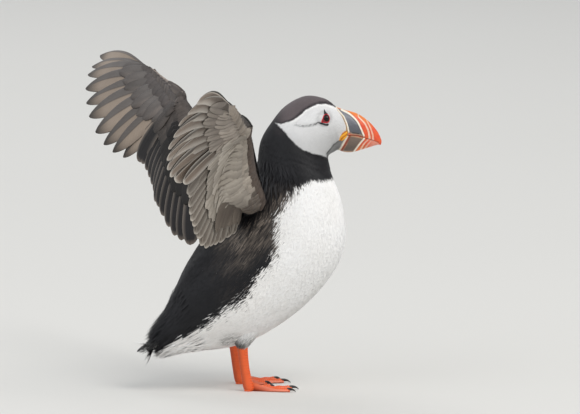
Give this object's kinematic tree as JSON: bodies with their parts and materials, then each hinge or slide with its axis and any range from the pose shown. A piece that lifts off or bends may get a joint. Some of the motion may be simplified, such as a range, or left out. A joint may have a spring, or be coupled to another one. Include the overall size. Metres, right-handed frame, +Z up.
{
  "type": "atlantic puffin",
  "caption": "Life-size still model of an Atlantic puffin that stands on webbed feet with its wings raised and spread and looks ahead.",
  "frame": {"origin": "on the floor, under the middle of the whole bird's bounding box", "axes": "+X the way the bird faces, +Y out to its left wing, +Z up; the wingspan lies along Y"},
  "size_m": [0.2098, 0.4626, 0.2649],
  "materials": {
    "body_feathers": "soft white contour feathers, black over the back",
    "black_feathers": "soft black contour feathers",
    "face_feathers": "short dense pale grey feathers",
    "flight_feathers": "smooth dark grey-brown vanes with pale edges",
    "bill_plates": "smooth horn plates, slate grey at the base and orange-red toward the tip",
    "bill_rim": "dull cream rim",
    "gape_skin": "creased yellow-orange skin",
    "eye": "wet dark eye in a red ring",
    "leg_skin": "scaled orange-red skin",
    "horn": "black horn"
  },
  "bodies": {
    "root": {"head": "face_feathers", "neck": "black_feathers", "trunk": "body_feathers", "tail": "black_feathers", "bill_upper": "bill_plates", "bill_lower": "bill_plates", "bill_cere": "bill_rim", "rosette_R": "gape_skin", "rosette_L": "gape_skin", "eye_R": "eye", "eye_L": "eye", "thigh_R": "body_feathers", "tarsus_R": "leg_skin", "foot_R": "leg_skin", "claw_R_inner": "horn", "claw_R_middle": "horn", "claw_R_outer": "horn", "wing_arm_R": "black_feathers", "wing_hand_R": "black_feathers", "alula_R": "flight_feathers", "primaries_R": "flight_feathers", "secondaries_R": "flight_feathers", "thigh_L": "body_feathers", "tarsus_L": "leg_skin", "foot_L": "leg_skin", "claw_L_inner": "horn", "claw_L_middle": "horn", "claw_L_outer": "horn", "wing_arm_L": "black_feathers", "wing_hand_L": "black_feathers", "alula_L": "flight_feathers", "primaries_L": "flight_feathers", "secondaries_L": "flight_feathers"}
  },
  "joints": []
}
